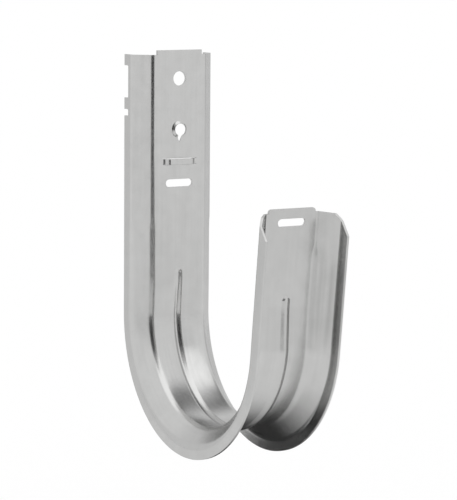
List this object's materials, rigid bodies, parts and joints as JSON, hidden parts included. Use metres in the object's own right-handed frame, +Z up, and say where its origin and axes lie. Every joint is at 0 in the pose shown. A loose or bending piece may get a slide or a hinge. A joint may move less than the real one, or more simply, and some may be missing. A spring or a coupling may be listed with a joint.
{
  "type": "wall-mount j-hook",
  "caption": "Wall-mount j-hook that carries cable bundles: a folded galvanised sheet strip with flared edges, a stiffening rib, a screw hole, a thread impression and retainer slots.",
  "frame": {"origin": "centre of the upper screw hole, on the web face that looks at the cables", "axes": "+Z up along the shank, +Y towards the wall, +X across the strip, to the right when facing the wall"},
  "size_m": [0.0492, 0.1403, 0.2072],
  "materials": {
    "galvanised_sheet": "satin, fine drawing lines along the strip"
  },
  "bodies": {
    "root": {"hook_body": "galvanised_sheet"}
  },
  "joints": []
}
